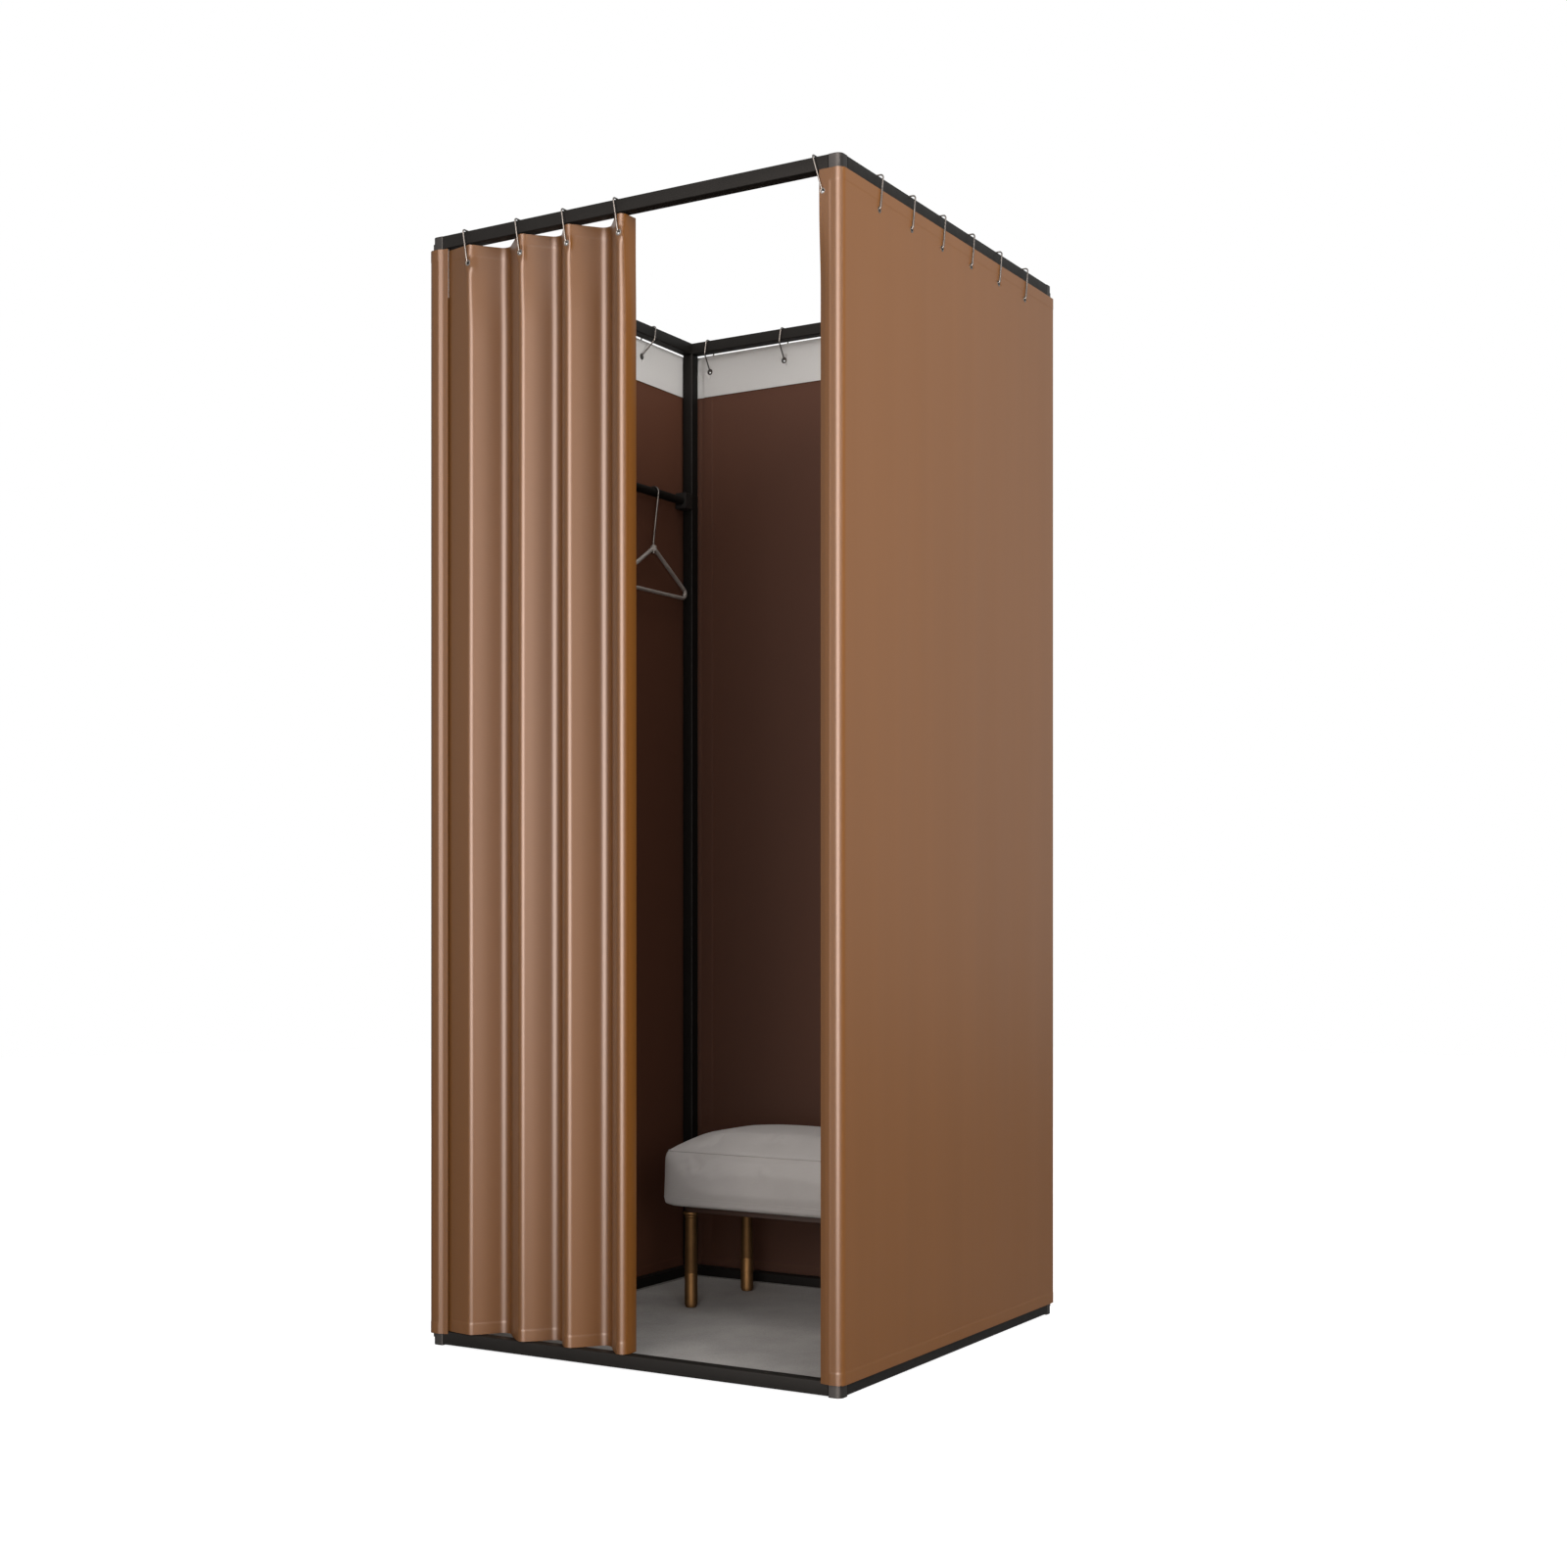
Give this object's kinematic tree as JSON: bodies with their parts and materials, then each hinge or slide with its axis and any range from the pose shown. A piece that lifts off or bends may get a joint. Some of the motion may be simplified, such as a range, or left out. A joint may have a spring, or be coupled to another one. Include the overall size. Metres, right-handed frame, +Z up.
{
  "type": "portable fitting room",
  "caption": "Free-standing changing booth: tube frame with cloth walls on rings, a sliding door curtain, a garment rail with a hanger, a floor mat and an upholstered bench.",
  "frame": {"origin": "on the floor, under the middle of the booth's plan", "axes": "+X to the right along the doorway side, +Y from the doorway to the back wall, +Z up"},
  "size_m": [0.9186, 0.9186, 2.1331],
  "materials": {
    "frame": "black powder coat, satin",
    "connector": "black moulded plastic, fine grain",
    "curtain": "brown satin-weave cloth with a soft sheen",
    "tape": "off-white woven heading tape",
    "ring": "bright nickel-plated wire",
    "hanger": "pale grey moulded plastic",
    "mat": "grey short-pile carpet",
    "bench_wood": "dark stained plywood",
    "upholstery": "grey woven upholstery",
    "leg": "brass-toned metal, satin"
  },
  "bodies": {
    "root": {"top_rail_front": "frame", "top_rail_right": "frame", "top_rail_back": "frame", "top_rail_left": "frame", "base_rail_front": "frame", "base_rail_right": "frame", "base_rail_back": "frame", "base_rail_left": "frame", "post_front_left": "frame", "post_front_right": "frame", "post_rear_left": "frame", "post_rear_right": "frame", "top_corner_front_left": "connector", "top_corner_front_right": "connector", "top_corner_rear_left": "connector", "top_corner_rear_right": "connector", "base_corner_front_left": "connector", "base_corner_front_right": "connector", "base_corner_rear_left": "connector", "base_corner_rear_right": "connector", "left_curtain": "curtain", "right_curtain": "curtain", "back_curtain": "curtain", "front_curtain": "curtain", "left_heading": "tape", "right_heading": "tape", "back_heading": "tape", "front_edge_ring": "ring", "right_ring_1": "ring", "right_ring_2": "ring", "right_ring_3": "ring", "right_ring_4": "ring", "right_ring_5": "ring", "right_ring_6": "ring", "left_ring_1": "ring", "left_ring_2": "ring", "left_ring_3": "ring", "left_ring_4": "ring", "back_ring_1": "ring", "back_ring_2": "ring", "back_ring_3": "ring", "back_ring_4": "ring", "back_ring_5": "ring", "garment_rail": "frame", "rail_socket_front": "connector", "rail_socket_rear": "connector", "floor_mat": "mat", "bench_base": "bench_wood", "bench_cushion": "upholstery", "bench_leg_front_left": "leg", "bench_leg_front_right": "leg", "bench_leg_rear_left": "leg", "bench_leg_rear_right": "leg"},
    "door_ring_1": {"door_ring_1": "ring"},
    "door_ring_2": {"door_ring_2": "ring"},
    "door_ring_3": {"door_ring_3": "ring"},
    "door_ring_4": {"door_ring_4": "ring"},
    "hanger_hook": {"hanger_hook": "hanger"},
    "hanger": {"hanger_body": "hanger"}
  },
  "joints": [
    {"name": "door_slide", "type": "slide", "parent": "root", "child": "door_ring_1", "axis": [1, 0, 0], "range_m": [-0.035, 0.1], "deforming": ["front_curtain"]},
    {"name": "door_slide_2", "type": "slide", "parent": "door_ring_1", "child": "door_ring_2", "axis": [1, 0, 0], "range_m": [-0.035, 0.1]},
    {"name": "door_slide_3", "type": "slide", "parent": "door_ring_2", "child": "door_ring_3", "axis": [1, 0, 0], "range_m": [-0.035, 0.1]},
    {"name": "door_slide_4", "type": "slide", "parent": "door_ring_3", "child": "door_ring_4", "axis": [1, 0, 0], "range_m": [-0.035, 0.1]},
    {"name": "hanger_slide", "type": "slide", "parent": "root", "child": "hanger_hook", "axis": [0, 1, 0], "range_m": [-0.58, 0.005]},
    {"name": "hanger_swivel", "type": "hinge", "parent": "hanger_hook", "child": "hanger", "pos_m": [-0.4375, 0.288, 1.66], "axis": [0, 0, 1], "range_deg": [-4.5, 4.5]}
  ],
  "couplings": [
    {"joint": "door_slide_2", "follows": "door_slide", "ratio": 1},
    {"joint": "door_slide_3", "follows": "door_slide", "ratio": 1},
    {"joint": "door_slide_4", "follows": "door_slide", "ratio": 1}
  ]
}
